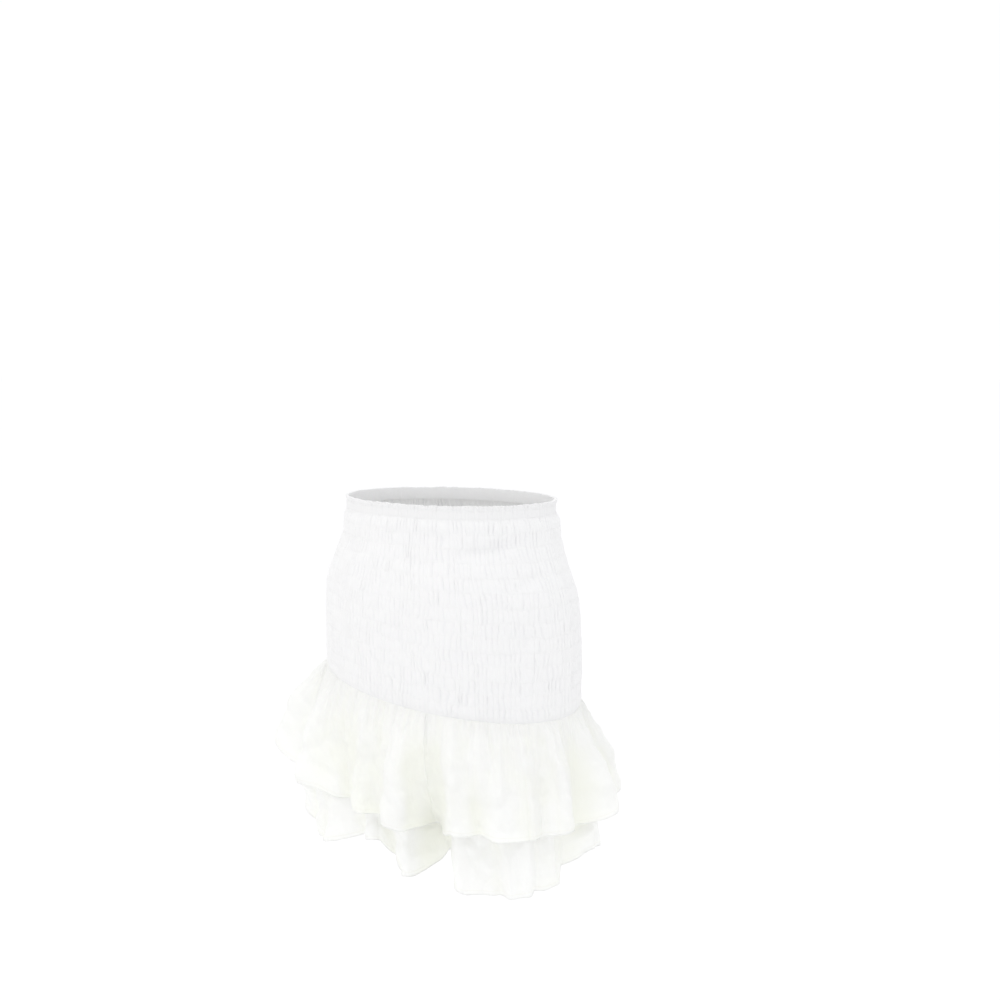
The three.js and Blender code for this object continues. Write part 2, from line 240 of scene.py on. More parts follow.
# Relief of the casing over its solid, and its frilled heading, rounded top edge and puckered inside
CASING_GATHER_ROWS = 0.9
CASING_ROW_LEVEL = 0.25
CASING_ROW_PINCH = 0.25
CASING_CREST = 0.8
CASING_ROUNDNESS = 0.8
CASING_SIDE_RELIEF = 0.4
CASING_SIDE_CALM = 5
HEADING_CREST = 2.0
HEADING_HEIGHT = 4.8
FRILL_HEIGHT = 0.9
FRILL_LEVEL = 0.6
RIM_HEIGHT = 0.45
RIM_PUFF = 0.35
RIM_LENGTHS = (0.3, 2)
PUCKER_DEPTH = 0.5

# Tucks into the seams: how far the cloth reaches past the edge, and how far it stands out there
TUCK = 3.0
TOP_TUCK_STAND = -0.2
END_TUCK = 0.8
END_TUCK_STAND = 0.9

# Detail of the ruffles. Near the side seams the small folds grow calm, and on the steep side of a large
# fold only a share of them is left.
SEAM_GATHER_DEPTH = 3.4
GATHER_SHARPNESS = 2.7
RIPPLE_HEIGHT = 5.0
RIPPLE_SHARPNESS = 2
RIPPLE_GROWTH = 1.4
HAND_FOLD_POWER = 1.5
FOLD_FADE = 18.0
CRUMPLE_START = 30
SIDE_FLAT = 5.0
SIDE_CALM = 18.0
STEEP_SHARE = 0.25
LOOSE_ROOM = 14.0
CLOSE_SHARE = 0.6
HEM_RADIUS = 0.55
HEM_STITCH_ROW = -4
RUFFLE_FULLNESS = 1.4

# Lumps of the crumpled chiffon, from broad to fine
CRUMPLES = [
    dict(width=17, length=22, height=3.4),
    dict(width=9, length=11, height=2.4),
    dict(width=4, length=6, height=0.55),
]

# The chance ranges of the pleats under the seam and of the ripples above the hem
PLEATS = dict(first=4.0, margin=3, width=(4.5, 9.5), length=(22, 95), depth=(0.4, 1.0),
              lean=(-0.07, 0.07), spacing=(0.8, 1.25))
PLEAT_RISE = 2.5
PLEAT_FALL_POWER = 1.4
PLEAT_TOP_WIDTH = 0.5
PLEAT_WIDENING = 110
RIPPLES = dict(first=6.0, margin=6, width=(9, 22), start=(0.0, 0.45), height=(0.3, 1.0),
               lean=(-0.16, 0.16), spacing=(0.45, 0.9))

# Stitches: their length, the space between them and the thread's radius, and how far they lie off
# the cloth
SHIRRING_STITCH = dict(stitch=1.9, space=0.8, radius=0.2)
CASING_STITCH = dict(stitch=2.2, space=0.8, radius=0.2)
HEM_STITCH = dict(stitch=1.8, space=0.9, radius=0.14)
THREAD_LIFT = 0.1
CASING_THREAD_LIFT = 0.12

# The fold value of the cloth, which its material turns into painted shade: 0 in a valley gets the
# darkest painted shade, and a crest gets none
ROW_SHADING = (0.4, 0.8)
GATHER_SHADING = (0.2, 1.1)
CREASE_SHADE = 0.05
CASING_SHADING = (0.5, 1.1)
CASING_ROW_SHADING = 0.75
RIM_SHADING = 0.9
INSIDE_SHADING = 0.6
SEAM_SHADING = 0.75
SHADING_START = 50
PLEAT_SHADING = 0.1
RIPPLE_SHADING = 0.06
UNSHADED_FROM = 0.75

# The two cloths and their threads. The valley colours are the crest colours with painted shade.
COTTON = dict(name="smocked_cotton_cloth", crest=(0.88, 0.88, 0.876), valley=(0.832, 0.832, 0.842),
              thread_pitch=0.45, crinkle=dict(width=2.2, length=5.0, height=0.25), patches=0.3,
              through=0.06, roughness=0.85, sheen=0.2)
CHIFFON = dict(name="ivory_chiffon_cloth", crest=(0.97, 0.973, 0.955), valley=(0.96, 0.968, 0.906),
               thread_pitch=0.35, crinkle=dict(width=3.2, length=9.0, height=0.45), patches=0.9,
               through=0.2, roughness=0.72, sheen=0.15)
COTTON_THREAD = dict(name="white_thread", color=(0.88, 0.88, 0.87))
CHIFFON_THREAD = dict(name="ivory_thread", color=(0.9, 0.89, 0.8))
SLUB = dict(width=1 / 0.9, length=1 / 0.07)
PATCH = dict(width=26, length=34)
WEAVE_BUMP = dict(distance=0.00004, strength=0.35)
SLUB_BUMP = dict(distance=0.0001, strength=0.1)
CRINKLE_STRENGTH = 0.8
TWIST_SCALE = 2600
TWIST_BUMP = dict(distance=0.0001, strength=0.5)

# The studio, in metres and watts
FLOOR_HEIGHT = -1.0
FLOOR_REACH = 400.0
FLOOR_WHITE = 0.99
SKY_COLOR = (0.985, 0.985, 1)
SKY_STRENGTH = 1.03
LIT_PLACE = (0, 0, -0.2)
LIGHTS = [
    dict(name="key", place=(-1.9, -1.7, 0.9), size=0.8, power=3.0, color=(1, 0.965, 0.84)),
    dict(name="overhead", place=(0.3, -0.5, 2.2), size=1.6, power=6.0, color=(1, 1, 0.98)),
    dict(name="fill", place=(1.1, -2.3, 0.1), size=1.6, power=2.0, color=(1, 1, 1)),
]
CAMERA = dict(azimuth=math.radians(37.7), pitch=math.radians(5.9), distance=1.338, beside=0.057,
              above_top=0.134, sensor=36, focal_share=1.2)

FRONT = dict(name="front", start=-90.0, end=90.0, folds=FRONT_FOLDS, seed=11)
BACK = dict(name="back", start=90.0, end=270.0, folds=BACK_FOLDS, seed=47)
UPPER = dict(name="upper", length=UPPER_RUFFLE_LENGTH, offset=LAYER_OFFSET, lifted=False,
             rows=UPPER_ROWS, seed=3)
LOWER = dict(name="lower", length=LOWER_RUFFLE_LENGTH, offset=-LAYER_OFFSET, lifted=True,
             rows=LOWER_ROWS, seed=8)


def column(table, name):
    return np.array([row[name] for row in table], float)


def mix(a, b, t):
    return a + (b - a) * t


def smooth(t):
    t = np.clip(t, 0, 1)
    return t * t * (3 - 2 * t)


def soft_noise(u, v, seed):
    """Smooth noise from -1 to 1 whose lumps are about one unit across."""
    lattice = np.random.default_rng(seed).uniform(-1, 1, (LATTICE, LATTICE))
    u, v = np.broadcast_arrays(u, v)
    i = np.floor(u).astype(int)
    j = np.floor(v).astype(int)
    s = smooth(u - i)
    t = smooth(v - j)
    value = lambda a, b: lattice[a % LATTICE, b % LATTICE]
    return mix(mix(value(i, j), value(i + 1, j), s), mix(value(i, j + 1), value(i + 1, j + 1), s), t)


def chance(kind, across, rows, seed):
    """One of the chance variations of the table above."""
    return kind["size"] * soft_noise(across / kind["width"], rows * kind["per_row"], seed)


def along_line(points):
    """How far along a line each of its points lies."""
    steps = np.linalg.norm(np.diff(points, axis=0), axis=1)
    return np.concatenate([[0], np.cumsum(steps)])


def from_sides(arc):
    """How far each column lies from the nearer side seam."""
    return np.minimum(arc, arc[-1] - arc)


def figure_at(name, drop):
    """A smooth curve through one column of the figure table."""
    drops = column(FIGURE, "drop")
    values = column(FIGURE, name)
    last = len(drops) - 1
    before = np.maximum(np.arange(last + 1) - 1, 0)
    after = np.minimum(np.arange(last + 1) + 1, last)
    slope = (values[after] - values[before]) / (drops[after] - drops[before])
    at = np.clip(drop, drops[0], drops[-1])
    i = np.clip(np.searchsorted(drops, at, side="left") - 1, 0, last - 1)
    step = drops[i + 1] - drops[i]
    rise = values[i + 1] - values[i]
    t = (at - drops[i]) / step
    leaving = slope[i] * step - rise
    arriving = rise - slope[i + 1] * step
    return values[i] + rise * t + t * (1 - t) * mix(leaving, arriving, t)


def outline(turn, drop):
    """The figure's outline: points, and the level directions straight out of it."""
    angle = np.radians(turn)
    side = figure_at("side", drop)
    depth = np.where(np.cos(angle) >= 0, figure_at("front", drop), figure_at("back", drop))
    x = side * np.sin(angle)
    y = -depth * np.cos(angle)
    out_x = np.sin(angle) / side
    out_y = -np.cos(angle) / depth
    size = np.hypot(out_x, out_y)
    return x, y, out_x / size, out_y / size


def cloth_points(turn, drop, offset):
    """Points of the yoke or casing, moved out from the figure."""
    turn, drop, offset = np.broadcast_arrays(turn, drop, offset)
    x, y, out_x, out_y = outline(turn, drop)
    share = smooth(drop / YOKE_BOTTOM_DROP)
    z = TOP_Z - drop - math.tan(SEAM_TILT) * x * share
    return np.stack([x + out_x * offset, y + out_y * offset, z], -1)


def even_turns(start, end, steps, count):
    """Turns evenly spaced along the hip line, and how far along it each lies."""
    fine = np.linspace(start, end, steps)
    x, y, _, _ = outline(fine, YOKE_BOTTOM_DROP)
    along = along_line(np.stack([x, y], -1))
    arc = np.linspace(0, along[-1], count)
    return np.interp(arc, along, fine), arc


def gather_count(panel, arc):
    """Counts gathers along the cloth; their widths vary by chance."""
    rng = np.random.default_rng(panel["seed"])
    widths = rng.normal(GATHER_PITCH, GATHER_PITCH_SPREAD, GATHERS_DRAWN).clip(*GATHER_PITCH_LIMITS)
    edges = np.concatenate([[0], np.cumsum(widths)])
    last = np.searchsorted(edges, arc[-1])
    edges *= arc[-1] / edges[last]
    return np.interp(arc, edges, np.arange(len(edges)))


def gathers(panel, arc, rows):
    """Rounded gathers with sharp valleys between them, from 0 to 1. They shift a little from one band
    to the next, across the row of stitches between the two, and some of the valleys are shallow."""
    count = gather_count(panel, arc)[None, :]
    seed = panel["seed"]
    across = arc[None, :]
    middle = np.floor(rows - 0.5)
    past = rows - 0.5 - middle
    band = (middle + smooth((past - 0.5) / BAND_SHIFT_SHARE + 0.5)) * BAND_STEP
    wander = chance(WANDER, across, band, seed + 1) + chance(SLOW_WANDER, across, rows, seed + 3)
    calm = smooth(from_sides(arc) / GATHER_SIDE_CALM)[None, :]
    wave = np.abs(np.sin(np.pi * (count + wander * calm))) ** GATHER_ROUNDNESS
    depth = np.clip(VALLEY_DEPTH + chance(SHALLOWS, across, band, seed + 4), *VALLEY_DEPTH_LIMITS)
    size = GATHER_SIZE + chance(UNEVEN_SIZE, across, rows, seed + 2)
    return (1 - depth * (1 - wave)) * size


def creases(turn, drop):
    """Soft troughs pressed into the worn yoke."""
    depth = np.zeros(np.broadcast(turn, drop).shape)
    for crease in CREASES:
        across = np.radians(turn - crease["turn"]) * figure_at("side", crease["drop"])
        down = drop - crease["drop"] - crease["lean"] * across / crease["length"]
        along_share = 2 * across / crease["length"]
        down_share = down / crease["width"] * CREASE_SHARPNESS
        depth += crease["depth"] * np.exp(-(along_share ** 2) - down_share ** 2)
    return depth


def linked(name, mesh):
    piece = bpy.data.objects.new(name, mesh)
    bpy.context.scene.collection.objects.link(piece)
    return piece


def grid_mesh(name, points, size_u, size_v, fold):
    """A cloth sheet from rows of points, top to bottom, with its UV in millimetres and a fold value for
    painted shade.
    """
    rows, columns = points.shape[:2]
    mesh = bpy.data.meshes.new(name)
    index = np.arange(rows * columns).reshape(rows, columns)
    corners = [index[:-1, :-1], index[1:, :-1], index[1:, 1:], index[:-1, 1:]]
    faces = np.stack(corners, -1).reshape(-1, 4)
    mesh.vertices.add(rows * columns)
    mesh.vertices.foreach_set("co", (points * MM).astype(np.float32).ravel())
    mesh.loops.add(faces.size)
    mesh.loops.foreach_set("vertex_index", faces.astype(np.int32).ravel())
    mesh.polygons.add(len(faces))
    mesh.polygons.foreach_set("loop_start", np.arange(0, faces.size, 4, dtype=np.int32))
    mesh.polygons.foreach_set("use_smooth", np.ones(len(faces), bool))
    uv = np.stack(np.broadcast_arrays(size_u, size_v), -1).reshape(-1, 2)
    layer = mesh.uv_layers.new(name="cloth")
    layer.data.foreach_set("uv", uv[faces.ravel()].astype(np.float32).ravel())
    shade = mesh.attributes.new("fold", "FLOAT", "POINT")
    shade.data.foreach_set("value", np.broadcast_to(fold, (rows, columns)).astype(np.float32).ravel())
    mesh.update()
    mesh.validate()
    return linked(name, mesh)


def finish_piece(piece, material):
    piece.data.materials.append(material)
    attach(piece, "root")


def unit(vectors):
    return vectors / np.maximum(np.linalg.norm(vectors, axis=-1, keepdims=True), 1e-9)


def surface_normals(points):
    """Outward directions of a sheet given as rows of points."""
    down = np.gradient(points, axis=0)
    across = np.gradient(points, axis=1)
    return unit(np.cross(down, across))


def thread_mesh(name, starts, ends, normals, radius):
    """Short straight stitches, each a four-sided bar."""
    along = unit(ends - starts)
    beside = unit(np.cross(along, normals))
    above = np.cross(beside, along)
    corners = []
    for end in (starts, ends):
        for direction in (above, beside, -above, -beside):
            corners.append(end + radius * direction)
    points = np.stack(corners, 1)
    sides = [(k, (k + 1) % 4, (k + 1) % 4 + 4, k + 4) for k in range(4)]
    bar = np.array(sides + [(3, 2, 1, 0), (4, 5, 6, 7)])
    faces = (np.arange(len(points)) * 8)[:, None, None] + bar[None]
    mesh = bpy.data.meshes.new(name)
    mesh.from_pydata((points.reshape(-1, 3) * MM).tolist(), [], faces.reshape(-1, 4).tolist())
    mesh.update()
    return linked(name, mesh)


def points_at(at, along, values):
    """Places at given distances along a line of points, or directions there."""
    return np.stack([np.interp(at, along, values[:, k]) for k in range(3)], -1)


def stitch_rows(name, lines, normals, stitch, space, radius):
    """Stitches along lines of cloth: each line is a row of points on the surface."""
    starts = []
    ends = []
    ups = []
    for line, normal in zip(lines, normals):
        along = along_line(line)
        first = np.arange(space, along[-1] - stitch - space, stitch + space)
        starts.append(points_at(first, along, line))
        ends.append(points_at(first + stitch, along, line))
        ups.append(points_at(first + stitch / 2, along, normal))
    return thread_mesh(name, np.concatenate(starts), np.concatenate(ends), np.concatenate(ups), radius)


def edge_bead(name, line, normals, radius, sides=6):
    """A narrow rolled edge along a line of points."""
    along = unit(np.gradient(line, axis=0))
    beside = unit(np.cross(along, normals))
    above = np.cross(beside, along)
    rings = []
    for k in range(sides + 1):
        angle = 2 * math.pi * k / sides
        rings.append(line + radius * (math.cos(angle) * above + math.sin(angle) * beside))
    points = np.stack(rings, 0)
    size_u = np.arange(points.shape[1])[None, :]
    size_v = np.arange(sides + 1)[:, None]
    return grid_mesh(name, points, size_u, size_v, 1.0)


def node_tree(name):
    material = bpy.data.materials.new(name)
    material.use_nodes = True
    nodes = material.node_tree.nodes
    nodes.clear()
    return material, nodes, material.node_tree.links


def math_node(nodes, links, operation, *values):
    """A maths node whose inputs are numbers or other nodes' outputs."""
    node = nodes.new("ShaderNodeMath")
    node.operation = operation
    for socket, value in zip(node.inputs, values):
        if isinstance(value, (int, float)):
            socket.default_value = value
        else:
            links.new(value, socket)
    return node.outputs[0]


def bump(nodes, links, height, distance, strength, normal=None):
    node = nodes.new("ShaderNodeBump")
    node.inputs["Strength"].default_value = strength
    node.inputs["Distance"].default_value = distance
    links.new(height, node.inputs["Height"])
    if normal is not None:
        links.new(normal, node.inputs["Normal"])
    return node.outputs["Normal"]


def noise_height(nodes, links, coordinates, lump, detail):
    """Noise over the cloth whose lumps have a width and a length in millimetres."""
    mapping = nodes.new("ShaderNodeMapping")
    mapping.inputs["Scale"].default_value = (1 / lump["width"], 1 / lump["length"], 1)
    links.new(coordinates, mapping.inputs["Vector"])
    noise = nodes.new("ShaderNodeTexNoise")
    noise.noise_dimensions = "2D"
    noise.inputs["Scale"].default_value = 1
    noise.inputs["Detail"].default_value = detail
    links.new(mapping.outputs["Vector"], noise.inputs["Vector"])
    return noise.outputs["Fac"]


def cloth_normal(nodes, links, cloth, coordinates):
    """The bump of a cloth: its crossing threads, thick threads and crinkles."""
    split = nodes.new("ShaderNodeSeparateXYZ")
    links.new(coordinates, split.inputs["Vector"])
    turns_per_mm = 2 * math.pi / cloth["thread_pitch"]
    threads = []
    for axis in ("X", "Y"):
        phase = math_node(nodes, links, "MULTIPLY", split.outputs[axis], turns_per_mm)
        threads.append(math_node(nodes, links, "SINE", phase))
    weave = math_node(nodes, links, "MULTIPLY", *threads)
    slub = noise_height(nodes, links, coordinates, SLUB, 2)
    crinkle = noise_height(nodes, links, coordinates, cloth["crinkle"], 3)
    normal = bump(nodes, links, weave, **WEAVE_BUMP)
    normal = bump(nodes, links, slub, **SLUB_BUMP, normal=normal)
    return bump(nodes, links, crinkle, cloth["crinkle"]["height"] * MM, CRINKLE_STRENGTH, normal)


def cloth_color(nodes, links, cloth, coordinates):
    """The cloth's colour with painted shade: the valley colour where the fold value is low, the crest
    colour higher up, shifted by large soft random patches.
    """
    fold = nodes.new("ShaderNodeAttribute")
    fold.attribute_name = "fold"
    mottle = noise_height(nodes, links, coordinates, PATCH, 2)
    patches = cloth["patches"]
    shift = math_node(nodes, links, "MULTIPLY_ADD", mottle, patches, -patches / 2)
    shade_tone = math_node(nodes, links, "ADD", fold.outputs["Fac"], shift)
    ramp = nodes.new("ShaderNodeValToRGB")
    colors = (cloth["valley"], cloth["crest"])
    for stop, place, color in zip(ramp.color_ramp.elements, (0, UNSHADED_FROM), colors):
        stop.position = place
        stop.color = (*color, 1)
    links.new(shade_tone, ramp.inputs["Fac"])
    return ramp.outputs["Color"]


def cloth_material(cloth):
    """Woven cloth that lets some light through."""
    material, nodes, links = node_tree(cloth["name"])
    coordinates = nodes.new("ShaderNodeUVMap")
    coordinates.uv_map = "cloth"
    normal = cloth_normal(nodes, links, cloth, coordinates.outputs["UV"])
    color = cloth_color(nodes, links, cloth, coordinates.outputs["UV"])
    shader = nodes.new("ShaderNodeBsdfPrincipled")
    shader.inputs["Roughness"].default_value = cloth["roughness"]
    shader.inputs["Specular IOR Level"].default_value = 0.3
    shader.inputs["Sheen Weight"].default_value = cloth["sheen"]
    shader.inputs["Sheen Roughness"].default_value = 0.5
    links.new(color, shader.inputs["Base Color"])
    links.new(normal, shader.inputs["Normal"])
    glow = nodes.new("ShaderNodeBsdfTranslucent")
    links.new(color, glow.inputs["Color"])
    links.new(normal, glow.inputs["Normal"])
    blend = nodes.new("ShaderNodeMixShader")
    blend.inputs["Fac"].default_value = cloth["through"]
    links.new(shader.outputs["BSDF"], blend.inputs[1])
    links.new(glow.outputs["BSDF"], blend.inputs[2])
    output = nodes.new("ShaderNodeOutputMaterial")
    links.new(blend.outputs["Shader"], output.inputs["Surface"])
    return material


def thread_material(thread):
    """Twisted sewing thread."""
    material, nodes, links = node_tree(thread["name"])
    place = nodes.new("ShaderNodeTexCoord")
    twist = nodes.new("ShaderNodeTexNoise")
    twist.inputs["Scale"].default_value = TWIST_SCALE
    links.new(place.outputs["Object"], twist.inputs["Vector"])
    shader = nodes.new("ShaderNodeBsdfPrincipled")
    shader.inputs["Base Color"].default_value = (*thread["color"], 1)
    shader.inputs["Roughness"].default_value = 0.6
    shader.inputs["Sheen Weight"].default_value = 0.2
    links.new(bump(nodes, links, twist.outputs["Fac"], **TWIST_BUMP), shader.inputs["Normal"])
    output = nodes.new("ShaderNodeOutputMaterial")
    links.new(shader.outputs["BSDF"], output.inputs["Surface"])
    return material


def smocked_yoke(panel, cotton, thread):
    """The shirred body of the skirt, with a stitched elastic thread along every row."""
    top = CASING_HEIGHT + SEAM_GAP
    band = (YOKE_BOTTOM_DROP - top) / SHIRRING_ROWS
    turns, arc = even_turns(panel["start"], panel["end"], HIP_STEPS, YOKE_COLUMNS + 1)
    across = arc[None, :]
    rows = np.linspace(0, SHIRRING_ROWS, SHIRRING_ROWS * YOKE_ROWS_PER_BAND + 1)
    calm = smooth(from_sides(arc) / YOKE_SIDE_CALM)[None, :]
    wave = chance(ROW_WAVE, across, rows[:, None], panel["seed"] + 5) * calm
    inside = (rows > 0) & (rows < SHIRRING_ROWS)
    row_place = rows[:, None] + wave * inside[:, None]
    puffed = gathers(panel, arc, np.clip(row_place, 0, SHIRRING_ROWS - 0.01))
    between = np.abs(np.sin(np.pi * row_place)) ** ROW_SHARPNESS
    pinched = np.abs(np.sin(2 * np.pi * gather_count(panel, arc)))[None, :]
    on_row = YOKE_ROW_LEVEL + PINCH_DEPTH * (pinched + puffed - 1)
    relief = mix(on_row, YOKE_CREST * puffed, between)
    drop = top + rows[:, None] * band
    drape = chance(DRAPE, across, rows[:, None], panel["seed"] + 7) * calm
    ends = smooth(np.minimum(rows, SHIRRING_ROWS - rows) / CREASE_FADE_ROWS)[:, None]
    creased = creases(turns[None, :], drop)
    press = (creased - drape) * ends
    thinned = mix(END_RELIEF, 1, smooth((SHIRRING_ROWS - rows) / END_SHARE))[:, None]
    relief = relief * mix(YOKE_SIDE_RELIEF, 1, calm) * thinned - press
    points = cloth_points(turns[None, :], drop, YOKE_WALL / 2 + relief)
    tucked_top = cloth_points(turns[None, :], np.array([[top - TUCK]]), TOP_TUCK_STAND)
    tucked_end = cloth_points(turns[None, :], np.array([[YOKE_BOTTOM_DROP + END_TUCK]]), END_TUCK_STAND)
    points = np.concatenate([tucked_top, points, tucked_end])
    # Painted shade: darkest in the valleys of the gathers, middling along the shirring rows, and darker
    # in the creases.
    fold = mix(mix(*ROW_SHADING, puffed), mix(*GATHER_SHADING, puffed), between) - CREASE_SHADE * creased
    fold = np.clip(fold, 0, 1)
    fold = np.concatenate([fold[:1], fold, fold[-1:]])
    down = np.concatenate([[top - TUCK], drop[:, 0], [YOKE_BOTTOM_DROP + END_TUCK]])
    cloth = grid_mesh(f"smocked_cloth_{panel['name']}", points, across, down[:, None], fold)
    finish_piece(cloth, cotton)
    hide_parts(f"smocked_yoke_{panel['name']}")

    normals = surface_normals(points)
    sewn = [1 + k * YOKE_ROWS_PER_BAND for k in range(1, SHIRRING_ROWS)]
    lines = [points[row] + THREAD_LIFT * normals[row] for row in sewn]
    stitches = stitch_rows(f"shirring_stitches_{panel['name']}", lines, [normals[row] for row in sewn],
                           **SHIRRING_STITCH)
    finish_piece(stitches, thread)


def casing_outside(panel, turns, arc, drops, calm):
    """The casing's outer face from its lower edge up: gathers on the band and a frill above it."""
    puffed = gathers(panel, arc, CASING_GATHER_ROWS * drops[:, None] / CASING_HEIGHT)
    heading = drops < HEADING_HEIGHT
    in_heading = (HEADING_HEIGHT - drops) / HEADING_HEIGHT
    in_band = (drops - HEADING_HEIGHT) / (CASING_HEIGHT - HEADING_HEIGHT)
    rounded = np.where(heading, np.sin(0.5 * np.pi * in_heading), np.sin(np.pi * in_band.clip(0, 1)))
    standing = rounded[:, None]
    crest = np.where(heading, HEADING_CREST, CASING_CREST)[:, None]
    on_row = CASING_ROW_LEVEL + CASING_ROW_PINCH * (puffed - 0.5)
    level = mix(on_row, crest * puffed, standing ** CASING_ROUNDNESS)
    level = level * mix(CASING_SIDE_RELIEF, 1, calm)
    wave = chance(FRILL_WAVE, arc, NOISE_LINE, panel["seed"] + 9)
    frill = FRILL_HEIGHT * (puffed[-1] - FRILL_LEVEL) + wave
    lift = frill[None, :] * np.where(heading, in_heading, 0)[:, None] * calm
    points = cloth_points(turns[None, :], drops[:, None], CASING_WALL / 2 + level)
    points[..., 2] += lift
    # Painted shade: darker in the valleys of the gathers, along the stitched row under the heading and
    # at the lower edge.
    shade_tone = mix(CASING_ROW_SHADING, 1, standing) * mix(*CASING_SHADING, puffed)
    return points, shade_tone, level[-1], lift[-1], puffed[-1]


def waist_casing(panel, cotton, thread):
    """The elastic casing: cloth folded over its top edge, with a small frilled heading above a seam."""
    turns, arc = even_turns(panel["start"], panel["end"], HIP_STEPS, YOKE_COLUMNS + 1)
    half = CASING_WALL / 2
    outer = np.linspace(CASING_HEIGHT, 0, CASING_OUTER_ROWS)
    rim = np.linspace(0, math.pi, CASING_RIM_ROWS + 2)[1:-1]
    inner = np.linspace(0, CASING_HEIGHT, CASING_INNER_ROWS)
    calm = smooth(from_sides(arc) / CASING_SIDE_CALM)[None, :]
    outer_points, shade_tone, top_level, top_lift, top_puff = casing_outside(panel, turns, arc, outer, calm)

    top_out = half + top_level
    top_in = -half + RIM_PUFF * top_puff * calm[0]
    middle = (top_out + top_in) / 2
    radius = (top_out - top_in) / 2
    rim_points = []
    for angle in rim:
        ring = cloth_points(turns, 0.0, middle + radius * math.cos(angle))
        ring[:, 2] += top_lift + RIM_HEIGHT * math.sin(angle)
        rim_points.append(ring)

    puckers = PUCKER_DEPTH * gathers(panel, arc, CASING_GATHER_ROWS * inner[:, None] / CASING_HEIGHT)
    puckers *= np.sin(np.pi * inner / CASING_HEIGHT)[:, None]
    stand = -half + RIM_PUFF * top_puff * calm - puckers * calm
    inner_points = cloth_points(turns[None, :], inner[:, None], stand)
    inner_points[..., 2] += top_lift * (1 - inner / CASING_HEIGHT)[:, None]

    points = np.concatenate([outer_points, np.stack(rim_points), inner_points])
    # Painted shade: the outer face is shaded by its gathers, the rim is unshaded and the inside is
    # painted darker.
    fold = np.concatenate([shade_tone, np.full((len(rim), len(arc)), RIM_SHADING),
                           np.full((len(inner), len(arc)), INSIDE_SHADING)])
    down = np.concatenate([-outer, np.linspace(*RIM_LENGTHS, len(rim)), RIM_LENGTHS[1] + inner])
    cloth = grid_mesh(f"casing_cloth_{panel['name']}", points[::-1], arc[None, :], down[::-1, None],
                      fold[::-1])
    cloth.data.flip_normals()
    finish_piece(cloth, cotton)
    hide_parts(f"waist_casing_{panel['name']}")

    normals = -surface_normals(points)
    sewn = [int(np.argmin(np.abs(outer - HEADING_HEIGHT))), 1]
    lines = [points[row] + CASING_THREAD_LIFT * normals[row] for row in sewn]
    stitches = stitch_rows(f"casing_stitches_{panel['name']}", lines, [normals[row] for row in sewn],
                           **CASING_STITCH)
    finish_piece(stitches, thread)


def fold_values(panel, count):
    """The fold table spread over evenly spaced columns of a ruffle."""
    folds = panel["folds"]
    seam = column(folds, "seam")
    hem = column(folds, "hem")
    seam_turn, arc = even_turns(seam[0], seam[-1], SEAM_STEPS, count)
    i = np.clip(np.searchsorted(seam, seam_turn, side="right") - 1, 0, len(seam) - 2)
    t = (seam_turn - seam[i]) / (seam[i + 1] - seam[i])
    hem_turn = mix(hem[i], hem[i + 1], t)
    eased = (1 - np.cos(np.pi * t)) / 2
    value = lambda name: mix(column(folds, name)[i], column(folds, name)[i + 1], eased)
    return arc, seam_turn, hem_turn, value


def seam_gathers(arc, distance, seed):
    """Small pleats under the seam. Each has its own width, length and depth, and dies out downwards."""
    rng = np.random.default_rng(seed)
    total = np.zeros((len(distance), len(arc)))
    down = distance[:, None]
    centre = PLEATS["first"]
    while centre < arc[-1] - PLEATS["margin"]:
        width = rng.uniform(*PLEATS["width"])
        length = rng.uniform(*PLEATS["length"])
        depth = SEAM_GATHER_DEPTH * rng.uniform(*PLEATS["depth"])
        lean = rng.uniform(*PLEATS["lean"])
        spread = width * (PLEAT_TOP_WIDTH + down / PLEAT_WIDENING)
        across = (arc[None, :] - centre - lean * down) / spread
        grown = (1 - np.exp(-down / PLEAT_RISE)) * np.exp(-(down / length) ** PLEAT_FALL_POWER)
        total += depth * np.exp(-(across * GATHER_SHARPNESS) ** 2) * grown
        centre += width * rng.uniform(*PLEATS["spacing"])
    return total


def ripples(arc, distance, length, seed):
    """Soft secondary folds that start part of the way down and grow towards the hem."""
    rng = np.random.default_rng(seed)
    total = np.zeros((len(distance), len(arc)))
    centre = RIPPLES["first"]
    while centre < arc[-1] - RIPPLES["margin"]:
        width = rng.uniform(*RIPPLES["width"])
        start = rng.uniform(*RIPPLES["start"]) * length
        height = RIPPLE_HEIGHT * rng.uniform(*RIPPLES["height"]) * rng.choice([-1, 1])
        lean = rng.uniform(*RIPPLES["lean"])
        below = distance[:, None] - start
        across = (arc[None, :] - centre - lean * below) / width
        grown = smooth(below / (length - start) * RIPPLE_GROWTH)
        total += height * np.exp(-(across * RIPPLE_SHARPNESS) ** 2) * grown
        centre += width * rng.uniform(*RIPPLES["spacing"])
    return total


def crumples(arc, distance, seed):
    """Lumps of crumpled cloth, which begin a little below the seam."""
    total = np.zeros((len(distance), len(arc)))
    for lump in CRUMPLES:
        noise = soft_noise(arc[None, :] / lump["width"], distance[:, None] / lump["length"],
                           seed + lump["width"])
        total += lump["height"] * noise
    return total * smooth(distance / CRUMPLE_START)[:, None]


